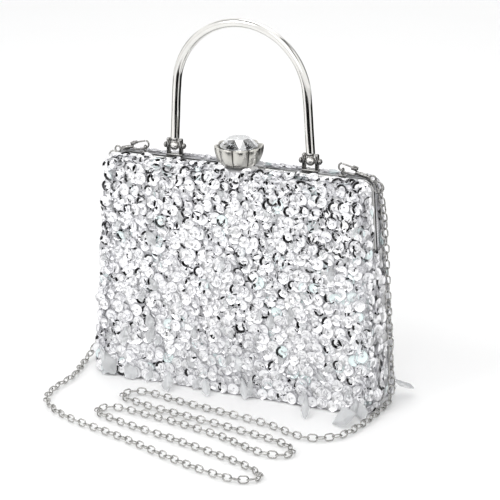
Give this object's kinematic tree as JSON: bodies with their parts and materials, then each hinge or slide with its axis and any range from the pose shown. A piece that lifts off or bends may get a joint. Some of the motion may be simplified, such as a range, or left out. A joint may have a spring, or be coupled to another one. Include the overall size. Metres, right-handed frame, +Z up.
{
  "type": "evening bag",
  "caption": "Hard-sided clamshell evening bag in sequinned cloth with polished metal rims, arch handle, crystal clasp and a chain strap on snap hooks.",
  "frame": {"origin": "on the resting plane, under the middle of the closed bag, in the plane where the two rims meet", "axes": "+Z up, -Y out of the front face, +X towards the right of someone facing the front"},
  "size_m": [0.2241, 0.176, 0.2463],
  "materials": {
    "polished_metal": "polished, faintly warm plating",
    "sequin_cloth": "white mesh cloth under silver-white cup sequins",
    "shell_board": "moulded millboard",
    "satin": "silver-grey satin",
    "crystal": "cut and polished"
  },
  "bodies": {
    "rear_half": {"rear_rim": "polished_metal", "rear_cover": "sequin_cloth", "rear_shell": "shell_board", "rear_lining": "satin", "inner_pocket": "satin", "left_gusset": "satin", "right_gusset": "satin", "rear_hinge_leaf": "polished_metal", "hinge_pin": "polished_metal", "left_fork": "polished_metal", "right_fork": "polished_metal", "left_handle_pin": "polished_metal", "right_handle_pin": "polished_metal", "clasp_bracket": "polished_metal", "clasp_pin": "polished_metal", "clasp_spring": "polished_metal", "left_lug": "polished_metal", "right_lug": "polished_metal", "left_snap_hook": "polished_metal", "right_snap_hook": "polished_metal", "chain": "polished_metal"},
    "front_half": {"front_rim": "polished_metal", "front_cover": "sequin_cloth", "front_shell": "shell_board", "front_lining": "satin", "front_hinge_leaf": "polished_metal", "catch_plate": "polished_metal"},
    "handle": {"handle_tube": "polished_metal", "left_handle_eye": "polished_metal", "right_handle_eye": "polished_metal"},
    "clasp": {"clasp_lever": "polished_metal", "clasp_cup": "polished_metal", "clasp_crystal": "crystal", "cup_screw": "polished_metal"},
    "left_hook_gate": {"left_gate": "polished_metal"},
    "right_hook_gate": {"right_gate": "polished_metal"}
  },
  "joints": [
    {"name": "bag_opening", "type": "hinge", "parent": "rear_half", "child": "front_half", "pos_m": [0, 0, 0.0016], "axis": [1, 0, 0], "range_deg": [0, 30]},
    {"name": "handle_swing", "type": "hinge", "parent": "rear_half", "child": "handle", "pos_m": [0, 0.0024, 0.1576], "axis": [1, 0, 0], "range_deg": [-88, 88]},
    {"name": "clasp_press", "type": "hinge", "parent": "rear_half", "child": "clasp", "pos_m": [0, 0.0032, 0.1525], "axis": [-1, 0, 0], "range_deg": [0, 8], "stiffness_Nm_per_rad": 0.05, "springref_deg": -5.73},
    {"name": "left_gate_open", "type": "hinge", "parent": "rear_half", "child": "left_hook_gate", "pos_m": [-0.07837, 0.0024, 0.15641], "axis": [0, 1, 0], "range_deg": [0, 12], "stiffness_Nm_per_rad": 0.002, "springref_deg": -5.73},
    {"name": "right_gate_open", "type": "hinge", "parent": "rear_half", "child": "right_hook_gate", "pos_m": [0.07837, 0.0024, 0.15641], "axis": [0, -1, 0], "range_deg": [0, 12], "stiffness_Nm_per_rad": 0.002, "springref_deg": -5.73}
  ]
}
